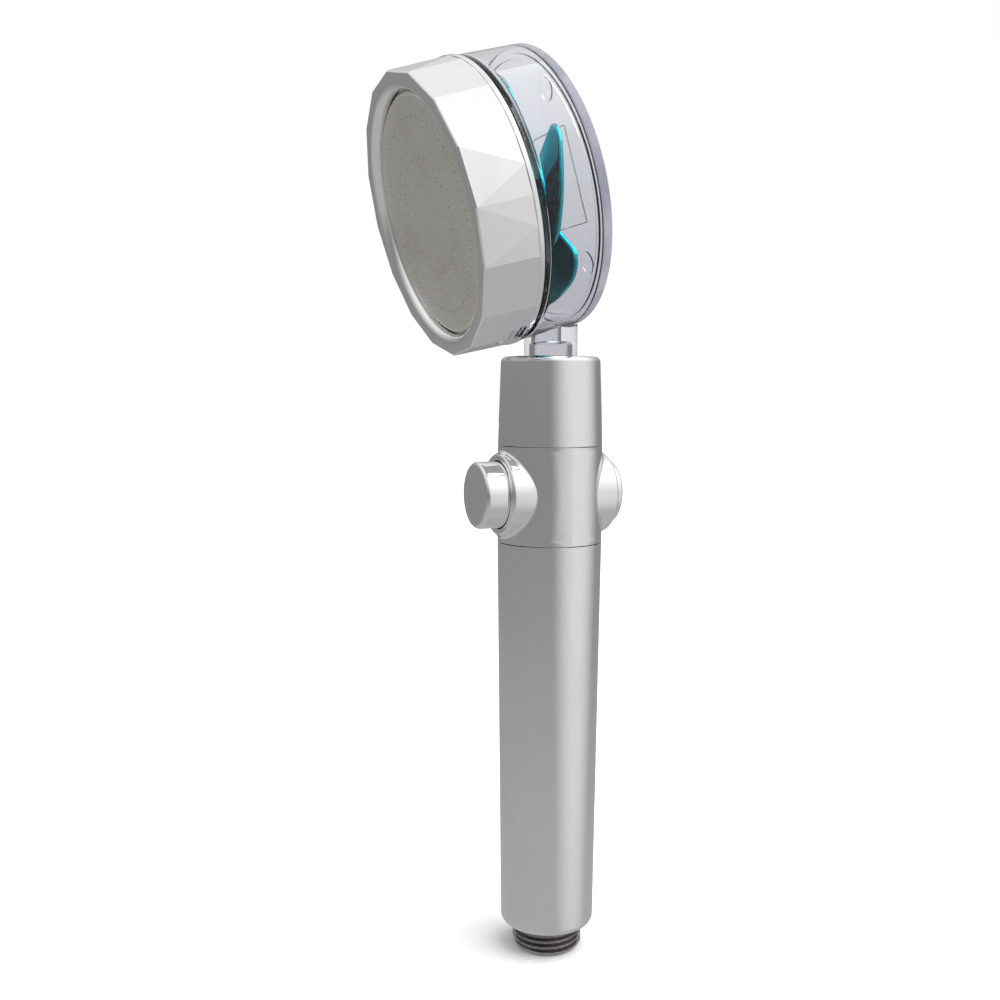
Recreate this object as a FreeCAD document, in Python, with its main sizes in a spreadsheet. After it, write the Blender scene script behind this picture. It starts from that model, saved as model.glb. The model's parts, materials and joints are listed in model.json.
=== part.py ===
import FreeCAD, Part
import math
import os

import Sketcher

# Handheld shower head with a see-through turbine chamber, a swivelling neck and a push-through
# stop valve in the handle.  Millimetres.  +Z runs up the handle, -Y is the side that the water
# leaves from, and the origin is the centre of the lower end of the hose thread.
# "Depth" is measured along the head's own axis, backwards from the front face of the ring.

DIMENSIONS = {
    # hose nipple, with the G1/2 pipe thread
    "thread_radius": 10.478,
    "thread_depth": 1.162,
    "thread_pitch": 1.814,
    "thread_height": 7.48,
    "crest_half": 0.2,
    "ridge_half": 0.72,
    "nipple_bore": 6.4,
    "nipple_radius": 11.9,
    "nipple_top": 19.0,
    "strainer_radius": 7.5,
    "strainer_seat": 1.6,
    # handle
    "tube_bottom_radius": 14.03,
    "grip_radius": 15.5,
    "tube_bore": 12.0,
    "tube_edge": 1.9,
    "valve_bottom": 124.78,
    "valve_top": 153.23,
    "joint_gap": 0.1,
    "spigot_radius": 11.9,
    "spigot_length": 12.0,
    # filter cartridge in the handle
    "filter_radius": 10.1,
    "filter_hole": 4.0,
    "filter_bottom": 28.0,
    "filter_top": 103.0,
    "filter_cap": 3.0,
    "valve_inlet_bore": 8.0,
    # stop valve across the handle
    "valve_axis": 139.07,
    "boss_radius": 12.2,
    "boss_face": 17.0,
    "counterbore_radius": 10.05,
    "counterbore_floor": 11.3,
    "cross_bore": 6.3,
    "spool_radius": 6.24,
    "spool_waist": 3.0,
    "waist_half": 2.1,
    "port_width": 3.6,
    "port_length": 10.0,
    "button_radius": 9.78,
    "button_length": 8.11,
    "front_button_face": 24.11,
    "rear_button_face": 19.86,
    "button_pin": 1.98,
    # swivel neck
    "neck_spigot": 11.4,
    "neck_spigot_top": 163.2,
    "collar_top": 179.25,
    "collar_top_radius": 14.6,
    "collar_bore": 11.5,
    "stem_radius": 7.8,
    "stem_bore": 4.8,
    "stem_bottom": 151.5,
    "stem_socket": 7.9,
    "socket_floor": 151.2,
    "bush_radius": 10.0,
    "clip_radius": 10.2,
    "stem_top": 190.75,
    "stem_roof": 183.75,
    "inlet_port_radius": 3.4,
    "inlet_port_shift": 1.2,
    # head
    "head_tilt": 16.0,
    "face_offset": 40.15,
    "face_height": 216.68,
    "ring_front_radius": 39.2,
    "ring_node_radius": 39.96,
    "ring_node_depth": 15.66,
    "ring_rim_radius": 40.09,
    "ring_depth": 17.08,
    "ring_sides": 16,
    "ring_phase": 85.16,
    "ring_lip_outer": 36.0,
    "ring_hole": 33.5,
    "ring_bore": 36.2,
    "ring_ledge": 4.0,
    "plate_front": 2.4,
    "plate_radius": 33.2,
    "plate_flange": 35.4,
    "chamber_radius": 39.65,
    "chamber_bore": 37.45,
    "chamber_neck": 36.1,
    "chamber_neck_bore": 34.2,
    "chamber_front": 6.5,
    "chamber_shoulder": 17.3,
    "chamber_back": 35.03,
    "cover_thickness": 2.65,
    "pad_radius": 3.0,
    "pad_ring": 32.5,
    "pad_height": 0.4,
    "panel_half_width": 28.0,
    "panel_half_height": 12.8,
    "panel_line": 0.4,
    "panel_depth": 0.25,
    "fan_radius": 33.4,
    "fan_hub": 6.0,
    "fan_front": 21.5,
    "fan_back": 31.2,
    "axle_radius": 1.5,
    "spoke_half": 1.25,
}

# heights of the two stem seals above the stem's lower end, and half the width of their grooves
STEM_SEALS = (3.0, 7.0)
STEM_GROOVE_HALF = 1.05
# places of the two spool seals along the valve's axis
SPOOL_SEALS = (-8.2, 4.6)

FAN_SPOKES = 6
FAN_BLADES = 5
BLADE_THICKNESS = 1.4
# a blade covers this angle to either side of a middle line, which sits at this depth in the head
BLADE_FIRST, BLADE_LAST = -30.0, 37.0
BLADE_DEPTH = 28.9
# how far a blade climbs towards the front for each degree round the axis
BLADE_CLIMB = 0.15
BLADE_CORNER = 5.0
BLADE_TIP_CLEARANCE = 0.4

# rings of spray holes: radius of the ring, number of holes
SPRAY_RINGS = [(15.8, 34), (26.7, 66)]
SPRAY_HOLE = 0.25

# strainer perforation: pitch and radius of the holes
STRAINER_PITCH = 1.5
STRAINER_HOLE = 0.45


class Size:
    """A length that knows both its value and the spreadsheet expression that it comes from."""

    def __init__(self, value, text):
        self.value = float(value)
        self.text = text

    def combine(self, other, sign, value):
        text = other.text if isinstance(other, Size) else repr(other)
        return Size(value, "(%s %s %s)" % (self.text, sign, text))

    def __add__(self, other):
        return self.combine(other, "+", self.value + float(other))

    def __sub__(self, other):
        return self.combine(other, "-", self.value - float(other))

    def __mul__(self, other):
        return self.combine(other, "*", self.value * float(other))

    def __float__(self):
        return self.value


class Sheet:
    """The driving dimensions: sheet.name gives each one as a Size."""

    def __init__(self, doc):
        cells = doc.addObject("Spreadsheet::Sheet", "Sizes")
        for row, (alias, value) in enumerate(DIMENSIONS.items(), start=1):
            cells.set("A%d" % row, alias)
            cells.set("B%d" % row, str(value))
            cells.setAlias("B%d" % row, alias)
        doc.recompute()
        for alias in DIMENSIONS:
            setattr(self, alias, Size(cells.get(alias), "Sizes." + alias))


doc = FreeCAD.newDocument("handheld_shower")
sheet = Sheet(doc)
ZERO = Size(0.0, "0")


# ---------------------------------------------------------------- helpers

def origin_plane(body, role):
    """One of the body's own origin planes, such as XZ_Plane."""
    for feature in body.Origin.OriginFeatures:
        if feature.Role == role:
            return feature


def new_sketch(body, name, role, lift=ZERO):
    """A sketch on one of the body's origin planes, lifted along the plane's normal."""
    sketch = body.newObject("Sketcher::SketchObject", body.Name + "_" + name)
    sketch.AttachmentSupport = [(origin_plane(body, role), "")]
    sketch.MapMode = "FlatFace"
    if float(lift):
        sketch.setExpression("AttachmentOffset.Base.z", lift.text)
        sketch.AttachmentOffset = FreeCAD.Placement(FreeCAD.Vector(0, 0, float(lift)), FreeCAD.Rotation())
    return sketch


def pin_down(sketch, geometry, point, x, y):
    """Holds a sketch point at (x, y), two Sizes, each by a bound dimension or on an axis."""
    for kind, axis, size in (("DistanceX", -2, x), ("DistanceY", -1, y)):
        if size.value == 0.0:
            sketch.addConstraint(Sketcher.Constraint("PointOnObject", geometry, point, axis))
            continue
        index = sketch.addConstraint(Sketcher.Constraint(kind, -1, 1, geometry, point, size.value))
        sketch.setExpression("Constraints[%d]" % index, size.text)


def add_outline(sketch, corners):
    """A closed outline of straight lines whose corners are all bound to the sheet."""
    first = sketch.GeometryCount
    count = len(corners)
    for i in range(count):
        start, end = corners[i], corners[(i + 1) % count]
        line = Part.LineSegment(FreeCAD.Vector(float(start[0]), float(start[1]), 0),
                                FreeCAD.Vector(float(end[0]), float(end[1]), 0))
        sketch.addGeometry(line)
    for i in range(count):
        following = first + (i + 1) % count
        sketch.addConstraint(Sketcher.Constraint("Coincident", first + i, 2, following, 1))
    for i, (x, y) in enumerate(corners):
        pin_down(sketch, first + i, 1, x, y)


def add_circle(sketch, x, y, radius):
    """A circle whose centre and radius are bound to the sheet."""
    centre = FreeCAD.Vector(float(x), float(y), 0)
    index = sketch.addGeometry(Part.Circle(centre, FreeCAD.Vector(0, 0, 1), float(radius)))
    pin_down(sketch, index, 3, x, y)
    bound = sketch.addConstraint(Sketcher.Constraint("Radius", index, float(radius)))
    sketch.setExpression("Constraints[%d]" % bound, radius.text)


def rectangle(half_width, half_height):
    """The corners of a rectangle about the origin."""
    left, low = half_width * -1, half_height * -1
    return [(left, low), (half_width, low), (half_width, half_height), (left, half_height)]


def feature(body, kind, name, sketch, **settings):
    """A sketched feature, with each size bound to the sheet."""
    item = body.newObject("PartDesign::" + kind, body.Name + "_" + name)
    item.Profile = sketch
    for key, value in settings.items():
        if isinstance(value, Size):
            setattr(item, key, value.value)
            item.setExpression(key, value.text)
        else:
            setattr(item, key, value)
    return item


def new_body(name):
    body = doc.addObject("PartDesign::Body", name)
    body.Label = name
    return body


def turned(name, corners):
    """A body turned about its own Z axis from an outline of (radius, height) corners."""
    body = new_body(name)
    sketch = new_sketch(body, "outline", "XZ_Plane")
    add_outline(sketch, corners)
    feature(body, "Revolution", "turning", sketch, ReferenceAxis=(sketch, ["V_Axis"]), Angle=360)
    doc.recompute()
    return body


def circle_edges(shape, rings):
    """The names of the round edges at each (radius, height)."""
    names = []
    for index, edge in enumerate(shape.Edges, start=1):
        if not isinstance(edge.Curve, Part.Circle):
            continue
        for radius, height in rings:
            level = abs(edge.Curve.Center.z - float(height)) < 0.02
            if level and abs(edge.Curve.Radius - float(radius)) < 0.02:
                names.append("Edge%d" % index)
    return names


def soften(body, kind, size, rings):
    """A Fillet or a Chamfer of one size on the body's round edges at (radius, height)."""
    base = body.Tip
    names = circle_edges(base.Shape, rings)
    if not names:
        raise ValueError("no edge to soften on " + body.Label)
    item = body.newObject("PartDesign::" + kind, "%s_%s_%d" % (body.Name, kind.lower(), len(body.Group)))
    item.Base = (base, names)
    setattr(item, "Radius" if kind == "Fillet" else "Size", size)
    doc.recompute()


def place_in_head(item):
    """Lays an item whose Z is depth into the head, behind the centre of the front face."""
    tilt = sheet.head_tilt
    spin = FreeCAD.Rotation(FreeCAD.Vector(1, 0, 0), float(tilt) - 90)
    base = FreeCAD.Vector(0, -float(sheet.face_offset), float(sheet.face_height))
    item.Placement = FreeCAD.Placement(base, spin)
    item.setExpression("Placement.Base.y", (sheet.face_offset * -1).text)
    item.setExpression("Placement.Base.z", sheet.face_height.text)
    return item


def place_across(item, start):
    """Lays an item whose Z points backwards along the stop valve's axis, from y = start."""
    spin = FreeCAD.Rotation(FreeCAD.Vector(1, 0, 0), -90)
    item.Placement = FreeCAD.Placement(FreeCAD.Vector(0, float(start), float(sheet.valve_axis)), spin)
    item.setExpression("Placement.Base.y", start.text)
    item.setExpression("Placement.Base.z", sheet.valve_axis.text)
    return item


def seal_ring(name, ring_radius, section_radius, height):
    """An O-ring about the Z axis."""
    ring = doc.addObject("Part::Torus", name)
    ring.Label = name
    ring.Radius1 = float(ring_radius)
    ring.setExpression("Radius1", ring_radius.text)
    ring.Radius2 = section_radius
    ring.Placement.Base.z = float(height)
    ring.setExpression("Placement.Base.z", height.text)
    return ring


def group(name, members):
    """One node made of separate solids."""
    item = doc.addObject("Part::Compound", name)
    item.Label = name
    item.Links = members
    return item


def cylinder(name, radius, start, length):
    """A plain cylinder along Z, used as a building block."""
    item = doc.addObject("Part::Cylinder", name)
    item.setExpression("Radius", radius.text)
    item.setExpression("Height", length.text)
    item.Placement.Base.z = float(start)
    item.setExpression("Placement.Base.z", start.text)
    return item


def combine(kind, name, members):
    """A boolean: Fuse joins all the members, Cut takes the second from the first."""
    if kind == "Fuse":
        item = doc.addObject("Part::MultiFuse", name)
        item.Shapes = members
    else:
        item = doc.addObject("Part::Cut", name)
        item.Base, item.Tool = members
    return item


def in_head_frame(name, radius, start, length):
    """A cylinder about the head's axis, from one depth to another."""
    item = doc.addObject("Part::Cylinder", name)
    item.setExpression("Radius", radius.text)
    item.setExpression("Height", length.text)
    lean = math.radians(float(sheet.head_tilt))
    spin = FreeCAD.Rotation(FreeCAD.Vector(1, 0, 0), float(sheet.head_tilt) - 90)
    y = -float(sheet.face_offset) + float(start) * math.cos(lean)
    z = float(sheet.face_height) + float(start) * math.sin(lean)
    item.Placement = FreeCAD.Placement(FreeCAD.Vector(0, y, z), spin)
    return item


# ---------------------------------------------------------------- lower end of the handle

def hose_nipple():
    """The threaded hose connection.  Its crests are rings at the true pitch and diameter."""
    crest, pitch = sheet.thread_radius, sheet.thread_pitch
    root = crest - sheet.thread_depth
    seat = sheet.strainer_radius + 0.1
    flat, foot = sheet.crest_half, sheet.ridge_half
    corners = [(sheet.nipple_bore, sheet.nipple_top), (sheet.nipple_bore, sheet.strainer_seat),
               (seat, sheet.strainer_seat), (seat, ZERO), (crest, ZERO), (crest, flat * 2), (root, flat + foot)]
    for turn in (1, 2, 3):
        middle = pitch * turn + flat
        corners += [(root, middle - foot), (crest, middle - flat), (crest, middle + flat), (root, middle + foot)]
    flange = sheet.thread_height + 0.12
    groove = sheet.nipple_radius - 1.75
    corners += [(root, flange), (sheet.nipple_radius, flange)]
    corners += [(sheet.nipple_radius, flange + 6), (groove, flange + 6)]
    corners += [(groove, flange + 8.2), (sheet.nipple_radius, flange + 8.2)]
    corners += [(sheet.nipple_radius, sheet.nipple_top)]
    return turned("hose_nipple", corners)


def nipple_seal():
    """O-ring between the nipple and the handle tube."""
    return seal_ring("nipple_seal", sheet.nipple_radius - 0.86, 0.85, sheet.thread_height + 7.22)


def inlet_strainer():
    """Perforated disc in the mouth of the nipple."""
    rim = sheet.strainer_radius
    body = turned("inlet_strainer", [
        (ZERO, ZERO + 0.9), (rim - 1.2, ZERO + 0.9), (rim - 1.2, ZERO + 0.5), (rim, ZERO + 0.5),
        (rim, sheet.strainer_seat), (ZERO, sheet.strainer_seat)])
    sketch = new_sketch(body, "holes", "XY_Plane")
    for row in range(-4, 5):
        for column in range(-4, 5):
            x = (column + 0.5 * (row % 2)) * STRAINER_PITCH
            y = row * STRAINER_PITCH * math.sqrt(0.75)
            if math.hypot(x, y) < float(rim) - 1.9:
                centre = FreeCAD.Vector(x, y, 0)
                sketch.addGeometry(Part.Circle(centre, FreeCAD.Vector(0, 0, 1), STRAINER_HOLE))
    feature(body, "Pocket", "perforation", sketch, Type="ThroughAll", Midplane=True)
    doc.recompute()
    return body


def handle_tube():
    """The grip: a tapered tube with a rounded lower edge."""
    bottom, top = sheet.thread_height, sheet.valve_bottom - sheet.joint_gap
    body = turned("handle_tube", [
        (sheet.tube_bore, bottom), (sheet.tube_bottom_radius, bottom),
        (sheet.grip_radius, top), (sheet.tube_bore, top)])
    soften(body, "Fillet", float(sheet.tube_edge), [(sheet.tube_bottom_radius, bottom)])
    soften(body, "Chamfer", 0.2, [(sheet.grip_radius, top)])
    return body


# ---------------------------------------------------------------- filter cartridge

def filter_core():
    """Hollow cotton filter stick."""
    bottom, top = sheet.filter_bottom, sheet.filter_top
    return turned("filter_core", [
        (sheet.filter_hole, bottom), (sheet.filter_radius, bottom),
        (sheet.filter_radius, top), (sheet.filter_hole, top)])


def filter_lower_cap():
    """Closed end cap, with feet that stand on the nipple."""
    face, rim = sheet.filter_bottom, sheet.filter_radius + 0.8
    foot = sheet.nipple_top + 0.1
    body = turned("filter_lower_cap", [
        (ZERO, face - sheet.filter_cap), (rim, face - sheet.filter_cap), (rim, face + 2),
        (sheet.filter_radius + 0.05, face + 2), (sheet.filter_radius + 0.05, face - 0.05),
        (sheet.filter_hole - 0.1, face - 0.05), (sheet.filter_hole - 0.1, face + 4), (ZERO, face + 4)])
    sketch = new_sketch(body, "feet", "XY_Plane", foot)
    for turn in range(3):
        angle = math.radians(120 * turn)
        centre = FreeCAD.Vector(9 * math.cos(angle), 9 * math.sin(angle), 0)
        sketch.addGeometry(Part.Circle(centre, FreeCAD.Vector(0, 0, 1), 1.2))
    feature(body, "Pad", "foot_pad", sketch, Length=sheet.filter_bottom - 2.9 - foot)
    doc.recompute()
    return body


def filter_upper_cap():
    """Open end cap whose neck plugs into the valve's inlet."""
    face, rim = sheet.filter_top, sheet.filter_radius + 0.8
    neck = sheet.valve_inlet_bore - 0.1
    step = face + sheet.filter_cap
    groove = neck - 1.6
    end = sheet.valve_bottom - 1
    middle = sheet.valve_bottom - 6
    return turned("filter_upper_cap", [
        (sheet.filter_hole - 1.2, face - 4), (sheet.filter_hole - 0.1, face - 4),
        (sheet.filter_hole - 0.1, face + 0.05), (sheet.filter_radius + 0.05, face + 0.05),
        (sheet.filter_radius + 0.05, face - 2), (rim, face - 2), (rim, step), (neck, step),
        (neck, middle - 1), (groove, middle - 1), (groove, middle + 1), (neck, middle + 1),
        (neck, end), (sheet.filter_hole, end), (sheet.filter_hole - 1.2, step)])


def filter_seal():
    """O-ring between the filter's neck and the valve's inlet."""
    return seal_ring("filter_seal", sheet.valve_inlet_bore - 0.87, 0.8, sheet.valve_bottom - 6)


# ---------------------------------------------------------------- stop valve

def round_boss_faces(body):
    """Softens the outer edge of each boss, which is a full circle about the Y axis."""
    base = body.Tip
    names = []
    for index, edge in enumerate(base.Shape.Edges, start=1):
        if not isinstance(edge.Curve, Part.Circle):
            continue
        at_face = abs(abs(edge.Curve.Center.y) - float(sheet.boss_face)) < 0.02
        if at_face and abs(edge.Curve.Radius - float(sheet.boss_radius)) < 0.02:
            names.append("Edge%d" % index)
    item = body.newObject("PartDesign::Fillet", "valve_body_boss_edges")
    item.Base = (base, names)
    item.Radius = 0.7
    doc.recompute()


def valve_body():
    """The middle of the handle: both spigots, the cross bore and the bosses around the buttons."""
    low = sheet.valve_bottom - sheet.spigot_length
    groove = sheet.spigot_radius - 1.75
    body = turned("valve_body", [
        (ZERO, sheet.valve_bottom + 2), (sheet.valve_inlet_bore, sheet.valve_bottom + 2),
        (sheet.valve_inlet_bore, low), (sheet.spigot_radius, low),
        (sheet.spigot_radius, low + 3), (groove, low + 3), (groove, low + 5.2), (sheet.spigot_radius, low + 5.2),
        (sheet.spigot_radius, sheet.valve_bottom), (sheet.grip_radius, sheet.valve_bottom),
        (sheet.grip_radius, sheet.valve_top), (sheet.neck_spigot, sheet.valve_top),
        (sheet.neck_spigot, sheet.neck_spigot_top), (sheet.stem_socket, sheet.neck_spigot_top),
        (sheet.stem_socket, sheet.socket_floor), (ZERO, sheet.socket_floor)])
    edges = [(sheet.grip_radius, sheet.valve_bottom), (sheet.grip_radius, sheet.valve_top)]
    soften(body, "Chamfer", 0.2, edges)

    bosses = new_sketch(body, "bosses", "XZ_Plane")
    add_circle(bosses, ZERO, sheet.valve_axis, sheet.boss_radius)
    feature(body, "Pad", "boss_pad", bosses, Length=sheet.boss_face * 2, Midplane=True)
    doc.recompute()
    round_boss_faces(body)

    cross = new_sketch(body, "cross_bore", "YZ_Plane")
    cross.AttachmentOffset = FreeCAD.Placement(FreeCAD.Vector(0, float(sheet.valve_axis), 0), FreeCAD.Rotation())
    cross.setExpression("AttachmentOffset.Base.y", sheet.valve_axis.text)
    reach, floor = sheet.boss_face + 1, sheet.counterbore_floor
    wide, narrow = sheet.counterbore_radius, sheet.cross_bore
    add_outline(cross, [
        (reach * -1, ZERO), (reach * -1, wide), (floor * -1, wide), (floor * -1, narrow),
        (floor, narrow), (floor, wide), (reach, wide), (reach, ZERO)])
    feature(body, "Groove", "cross_cut", cross, ReferenceAxis=(cross, ["H_Axis"]), Angle=360)
    doc.recompute()

    port = new_sketch(body, "port", "XY_Plane", sheet.valve_axis)
    add_outline(port, rectangle(sheet.port_length * 0.5, sheet.port_width * 0.5))
    span = (sheet.socket_floor - sheet.valve_axis) * 2 + 2
    feature(body, "Pocket", "port_cut", port, Type="Length", Length=span, Midplane=True)
    doc.recompute()
    return body


def valve_spool():
    """The sliding bolt: its waist lines up with the port when the water runs."""
    front = sheet.front_button_face * -1 + sheet.button_length + 0.1
    back = sheet.rear_button_face - sheet.button_length - 0.1
    length = back - front
    middle = front * -1
    land, waist, ring = sheet.spool_radius, sheet.spool_waist, sheet.spool_radius - 1.6
    pin = sheet.button_pin
    corners = [(ZERO, ZERO - 5.4), (pin, ZERO - 5.4), (pin, ZERO - 0.001), (land, ZERO - 0.001)]
    for centre in (middle + SPOOL_SEALS[0], middle, middle + SPOOL_SEALS[1]):
        at_waist = centre is middle
        half = sheet.waist_half if at_waist else ZERO + 1.0
        depth = waist if at_waist else ring
        corners += [(land, centre - half), (depth, centre - half), (depth, centre + half), (land, centre + half)]
    corners += [(land, length), (pin, length), (pin, length + 5.4), (ZERO, length + 5.4)]
    return place_across(turned("valve_spool", corners), front)


def spool_seals():
    """The two O-rings that ride on the spool."""
    rings = []
    for number, offset in enumerate(SPOOL_SEALS, start=1):
        ring = seal_ring("spool_seal_%d" % number, sheet.spool_radius - 0.77, 0.8, ZERO + offset)
        rings.append(ring)
    return place_across(group("spool_seals", rings), ZERO)


def button(name, start, flipped):
    """A cup-shaped button on the end of the spool: the open side faces the handle."""
    radius, length = sheet.button_radius, sheet.button_length
    rim, hub, hole = radius - 1.6, ZERO + 3.6, sheet.button_pin + 0.02
    corners = [(ZERO, ZERO), (radius, ZERO), (radius, length), (rim, length), (rim, ZERO + 2.2),
               (hub, ZERO + 2.2), (hub, length), (hole, length), (hole, ZERO + 2.4), (ZERO, ZERO + 2.4)]
    if flipped:
        corners = [(r, length - h) for r, h in corners]
    body = turned(name, corners)
    face = length if flipped else ZERO
    soften(body, "Fillet", 1.0, [(radius, face)])
    return place_across(body, start)


def front_button():
    return button("front_button", sheet.front_button_face * -1, False)


def rear_button():
    return button("rear_button", sheet.rear_button_face - sheet.button_length, True)


def tube_seal():
    """O-ring between the valve's lower spigot and the handle tube."""
    return seal_ring("tube_seal", sheet.spigot_radius - 0.86, 0.85, sheet.valve_bottom - 7.9)


# ---------------------------------------------------------------- swivel neck

def swivel_collar():
    """The collar that screws onto the valve and holds the swivelling stem."""
    bottom, top = sheet.valve_top + sheet.joint_gap, sheet.collar_top
    shoulder, lip = sheet.neck_spigot_top + 3.9, sheet.collar_top - 1.15
    body = turned("swivel_collar", [
        (sheet.collar_bore, bottom), (sheet.grip_radius, bottom), (sheet.collar_top_radius, top),
        (sheet.stem_radius + 0.3, top), (sheet.stem_radius + 0.3, lip), (sheet.bush_radius + 0.05, lip),
        (sheet.bush_radius + 0.05, shoulder), (sheet.collar_bore, shoulder)])
    soften(body, "Fillet", 1.5, [(sheet.collar_top_radius, top)])
    soften(body, "Chamfer", 0.2, [(sheet.grip_radius, bottom)])
    return body


def swivel_bush():
    """Plain bearing that the stem turns in."""
    inner, outer = sheet.stem_radius + 0.08, sheet.bush_radius
    bottom, top = sheet.neck_spigot_top + 4.0, sheet.collar_top - 1.2
    return turned("swivel_bush", [(inner, bottom), (outer, bottom), (outer, top), (inner, top)])


def thrust_washer():
    """Washer between the stem clip and the collar's shoulder."""
    inner, outer = sheet.stem_radius + 0.15, sheet.collar_bore - 0.3
    bottom, top = sheet.neck_spigot_top + 2.3, sheet.neck_spigot_top + 3.8
    return turned("thrust_washer", [(inner, bottom), (outer, bottom), (outer, top), (inner, top)])


def stem_clip():
    """Open retaining ring in the stem's groove."""
    bottom, top = sheet.neck_spigot_top + 0.35, sheet.neck_spigot_top + 2.15
    inner, outer = sheet.stem_radius - 1.15, sheet.clip_radius
    body = turned("stem_clip", [(inner, bottom), (outer, bottom), (outer, top), (inner, top)])
    sketch = new_sketch(body, "mouth", "XY_Plane", bottom)
    half = ZERO + 5.6
    add_outline(sketch, [(half * -1, ZERO + 1), (half, ZERO + 1), (half, outer + 1), (half * -1, outer + 1)])
    feature(body, "Pocket", "mouth_cut", sketch, Type="ThroughAll", Midplane=True)
    doc.recompute()
    return body


def stem_seals():
    """The two O-rings between the stem and its socket."""
    rings = []
    for number, height in enumerate(STEM_SEALS, start=1):
        rings.append(seal_ring("stem_seal_%d" % number, sheet.stem_radius - 0.82, 0.88, sheet.stem_bottom + height))
    return group("stem_seals", rings)


# ---------------------------------------------------------------- head

def clear_chamber():
    """The see-through turbine chamber, moulded in one with its stem."""
    outer, groove = sheet.stem_radius, sheet.stem_radius - 1.72
    corners = [(sheet.stem_bore, sheet.stem_bottom), (outer, sheet.stem_bottom)]
    for height in STEM_SEALS:
        low, high = sheet.stem_bottom + (height - STEM_GROOVE_HALF), sheet.stem_bottom + (height + STEM_GROOVE_HALF)
        corners += [(outer, low), (groove, low), (groove, high), (outer, high)]
    clip_low, clip_high = sheet.neck_spigot_top + 0.25, sheet.neck_spigot_top + 2.25
    slot = sheet.stem_radius - 1.2
    corners += [(outer, clip_low), (slot, clip_low), (slot, clip_high), (outer, clip_high)]
    corners += [(outer, sheet.stem_top), (ZERO, sheet.stem_top), (ZERO, sheet.stem_roof),
                (sheet.stem_bore, sheet.stem_roof)]
    stem = turned("stem_blank", corners)

    depth = sheet.chamber_back - sheet.chamber_shoulder
    neck_depth = sheet.chamber_shoulder - sheet.chamber_front + 2
    drum = in_head_frame("drum", sheet.chamber_radius, sheet.chamber_shoulder, depth)
    neck = in_head_frame("drum_neck", sheet.chamber_neck, sheet.chamber_front, neck_depth)
    solid = combine("Fuse", "chamber_solid", [drum, neck, stem])

    cavity = in_head_frame("cavity", sheet.chamber_bore, sheet.chamber_shoulder + 2, depth)
    mouth = in_head_frame("cavity_mouth", sheet.chamber_neck_bore, sheet.chamber_front - 1, neck_depth + 2)
    behind = in_head_frame("cover_space", sheet.chamber_radius + 0.25, sheet.chamber_back, depth)
    inlet = cylinder("inlet_port", sheet.inlet_port_radius, sheet.stem_roof - 1, ZERO + 12)
    inlet.setExpression("Placement.Base.y", (sheet.inlet_port_shift * -1).text)
    hollow = combine("Fuse", "chamber_hollow", [cavity, mouth, behind, inlet])

    item = combine("Cut", "clear_chamber", [solid, hollow])
    item.Label = "clear_chamber"
    return item


def back_cover():
    """The clear disc that closes the chamber, with its locating lip and the axle's rear seat."""
    front = sheet.chamber_back + 0.03
    rear = sheet.chamber_back + sheet.cover_thickness
    lip_outer, lip_inner = sheet.chamber_bore - 0.1, sheet.chamber_bore - 1.6
    seat = sheet.axle_radius + 0.02
    body = turned("back_cover", [
        (ZERO, rear), (sheet.chamber_radius, rear), (sheet.chamber_radius, front), (lip_outer, front),
        (lip_outer, front - 2), (lip_inner, front - 2), (lip_inner, front), (sheet.axle_radius + 2.4, front),
        (sheet.axle_radius + 2.4, front - 2.8), (seat, front - 2.8), (seat, front - 0.3), (ZERO, front - 0.3)])
    soften(body, "Fillet", 0.5, [(sheet.chamber_radius, rear)])
    pads = new_sketch(body, "pads", "XY_Plane", front)
    reach = float(sheet.pad_ring) * math.sqrt(0.5)
    for x in (-reach, reach):
        for y in (-reach, reach):
            centre = FreeCAD.Vector(x, y, 0)
            pads.addGeometry(Part.Circle(centre, FreeCAD.Vector(0, 0, 1), float(sheet.pad_radius)))
    feature(body, "Pad", "round_pads", pads, Length=sheet.pad_height, Reversed=True)
    doc.recompute()
    frame = new_sketch(body, "panel", "XY_Plane", front)
    wide, high, line = sheet.panel_half_width, sheet.panel_half_height, sheet.panel_line
    add_outline(frame, rectangle(wide, high))
    add_outline(frame, rectangle(wide - line, high - line))
    feature(body, "Pocket", "panel_line", frame, Type="Length", Length=sheet.panel_depth, Reversed=True)
    doc.recompute()
    return place_in_head(body)


def facet_nodes(radius, depth, count, phase):
    """Points of a regular polygon in the head's own frame."""
    points = []
    for i in range(count):
        angle = math.radians(phase + 360.0 * i / count)
        points.append(FreeCAD.Vector(radius * math.cos(angle), radius * math.sin(angle), depth))
    return points


def flat_face(points):
    return Part.Face(Part.makePolygon(points + [points[0]]))


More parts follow.
